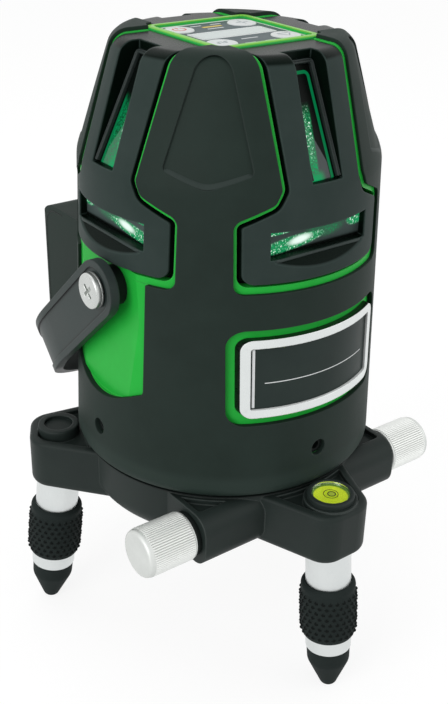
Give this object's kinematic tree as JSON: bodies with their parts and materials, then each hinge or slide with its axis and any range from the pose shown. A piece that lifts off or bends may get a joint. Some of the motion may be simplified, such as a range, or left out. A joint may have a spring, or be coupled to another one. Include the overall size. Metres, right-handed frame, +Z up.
{
  "type": "line laser level",
  "caption": "Self-levelling line laser: black and green head with slotted windows all round, carrying strap and keypad, turning on a base with screw feet, fine-drive knobs and circular level.",
  "frame": {"origin": "mouth of the tripod thread, at the lowest face of the base's middle", "axes": "+Z up along the turning axis, -Y to the front arm with the circular level, X along the fine-drive shaft"},
  "size_m": [0.1426, 0.1511, 0.2359],
  "materials": {
    "black_base": "fine grained moulding",
    "black_armour": "soft matt overmould",
    "black_frame": "satin moulding",
    "black_strap": "satin moulding",
    "green_plastic": "glossy moulding",
    "clear_glass": "clear",
    "vial_glass": "clear",
    "vial_yellow": "clear fluid with bubble",
    "turned_brass": "turned",
    "machined_steel": "ground",
    "knob_silver": "straight knurl",
    "foot_silver": "satin anodised",
    "screw_silver": "plated",
    "black_bush": "plain",
    "plate_silver": "polished",
    "plate_black": "glossy, left bare",
    "foot_rubber": "ribbed",
    "keypad_grey": "printed film",
    "display_grey": "clear front",
    "button_white": "printed film",
    "cast_alloy": "machined",
    "board_green": "solder mask",
    "motor_steel": "plain",
    "battery_blue": "sleeved"
  },
  "bodies": {
    "base": {"base_casting": "black_base", "base_cover": "black_base", "tripod_bush": "turned_brass", "foot_inserts": "turned_brass", "arm_plugs": "black_base", "vial_cup": "black_base", "vial_fluid": "vial_yellow", "vial_lens": "vial_glass", "shaft_bushes": "black_bush", "thrust_washer": "machined_steel"},
    "drive_wheel": {"worm_wheel": "turned_brass", "clutch_spring": "machined_steel"},
    "worm": {"worm_shaft": "machined_steel", "left_knob": "knob_silver", "right_knob": "knob_silver"},
    "head": {"armour": "black_armour", "inner_housing": "green_plastic", "window_frame_front": "black_frame", "window_frame_right": "black_frame", "window_frame_rear": "black_frame", "window_frame_left": "black_frame", "window_panes_front": "clear_glass", "window_panes_right": "clear_glass", "window_panes_rear": "clear_glass", "window_panes_left": "clear_glass", "panel_bezel": "green_plastic", "keypad": "keypad_grey", "display": "display_grey", "plate_frame": "plate_silver", "plate_inlay": "plate_black", "battery_box": "black_armour", "battery_pack": "battery_blue", "chassis": "cast_alloy", "spindle": "machined_steel", "spindle_ring": "machined_steel", "control_board": "board_green", "gimbal_posts": "cast_alloy", "levelling_motors": "motor_steel", "pivot_spacers": "black_bush", "pivot_washers": "screw_silver", "pivot_screws": "screw_silver"},
    "handle": {"handle_strap": "black_strap"},
    "battery_door": {"battery_door": "black_armour"},
    "gimbal": {"gimbal_ring": "cast_alloy"},
    "tower": {"laser_tower": "cast_alloy", "line_modules": "turned_brass", "plumb_module": "turned_brass"},
    "button_power": {"button_power": "button_white"},
    "button_lines": {"button_lines": "button_white"},
    "button_plumb": {"button_plumb": "button_white"},
    "button_pulse": {"button_pulse": "button_white"},
    "tip_front": {"foot_tip_front": "foot_rubber"},
    "screw_front": {"foot_screw_front": "foot_silver", "foot_grip_front": "foot_rubber"},
    "tip_right": {"foot_tip_right": "foot_rubber"},
    "screw_right": {"foot_screw_right": "foot_silver", "foot_grip_right": "foot_rubber"},
    "tip_left": {"foot_tip_left": "foot_rubber"},
    "screw_left": {"foot_screw_left": "foot_silver", "foot_grip_left": "foot_rubber"}
  },
  "joints": [
    {"name": "drive_turn", "type": "hinge", "parent": "base", "child": "drive_wheel", "pos_m": [0, 0, 0.015], "axis": [0, 0, 1], "continuous": true},
    {"name": "head_turn", "type": "hinge", "parent": "drive_wheel", "child": "head", "pos_m": [0, 0, 0.03], "axis": [0, 0, 1], "continuous": true},
    {"name": "worm_turn", "type": "hinge", "parent": "base", "child": "worm", "pos_m": [0, -0.0415, 0.015], "axis": [1, 0, 0], "continuous": true},
    {"name": "handle_swing", "type": "hinge", "parent": "head", "child": "handle", "pos_m": [0, -0.0045, 0.0993], "axis": [1, 0, 0], "range_deg": [0, 133]},
    {"name": "door_swing", "type": "hinge", "parent": "head", "child": "battery_door", "pos_m": [0, 0.061, 0.063], "axis": [-1, 0, 0], "range_deg": [0, 100]},
    {"name": "gimbal_tilt", "type": "hinge", "parent": "head", "child": "gimbal", "pos_m": [0, 0, 0.092], "axis": [1, 0, 0], "range_deg": [-3, 3]},
    {"name": "tower_tilt", "type": "hinge", "parent": "gimbal", "child": "tower", "pos_m": [0, 0, 0.092], "axis": [0, 1, 0], "range_deg": [-3, 3]},
    {"name": "press_power", "type": "slide", "parent": "head", "child": "button_power", "axis": [0, 0, -1], "range_m": [0, 0.0005], "stiffness_N_per_m": 800, "springref_m": -0.0003},
    {"name": "press_lines", "type": "slide", "parent": "head", "child": "button_lines", "axis": [0, 0, -1], "range_m": [0, 0.0005], "stiffness_N_per_m": 800, "springref_m": -0.0003},
    {"name": "press_plumb", "type": "slide", "parent": "head", "child": "button_plumb", "axis": [0, 0, -1], "range_m": [0, 0.0005], "stiffness_N_per_m": 800, "springref_m": -0.0003},
    {"name": "press_pulse", "type": "slide", "parent": "head", "child": "button_pulse", "axis": [0, 0, -1], "range_m": [0, 0.0005], "stiffness_N_per_m": 800, "springref_m": -0.0003},
    {"name": "foot_lift_front", "type": "slide", "parent": "base", "child": "tip_front", "axis": [0, 0.0989, 0.9951], "range_m": [-0.003, 0.0045]},
    {"name": "foot_turn_front", "type": "hinge", "parent": "tip_front", "child": "screw_front", "pos_m": [0, -0.0721, -0.057], "axis": [0, 0.0989, 0.9951], "range_deg": [-725, 1085]},
    {"name": "foot_lift_right", "type": "slide", "parent": "base", "child": "tip_right", "axis": [-0.0857, -0.0495, 0.9951], "range_m": [-0.003, 0.0045]},
    {"name": "foot_turn_right", "type": "hinge", "parent": "tip_right", "child": "screw_right", "pos_m": [0.06244, 0.03605, -0.057], "axis": [-0.0857, -0.0495, 0.9951], "range_deg": [-725, 1085]},
    {"name": "foot_lift_left", "type": "slide", "parent": "base", "child": "tip_left", "axis": [0.0857, -0.0495, 0.9951], "range_m": [-0.003, 0.0045]},
    {"name": "foot_turn_left", "type": "hinge", "parent": "tip_left", "child": "screw_left", "pos_m": [-0.06244, 0.03605, -0.057], "axis": [0.0857, -0.0495, 0.9951], "range_deg": [-725, 1085]}
  ],
  "couplings": [
    {"joint": "worm_turn", "follows": "drive_turn", "ratio": -48},
    {"joint": "foot_turn_front", "follows": "foot_lift_front", "rad_per_m": 4188.8},
    {"joint": "foot_turn_right", "follows": "foot_lift_right", "rad_per_m": 4188.8},
    {"joint": "foot_turn_left", "follows": "foot_lift_left", "rad_per_m": 4188.8}
  ]
}
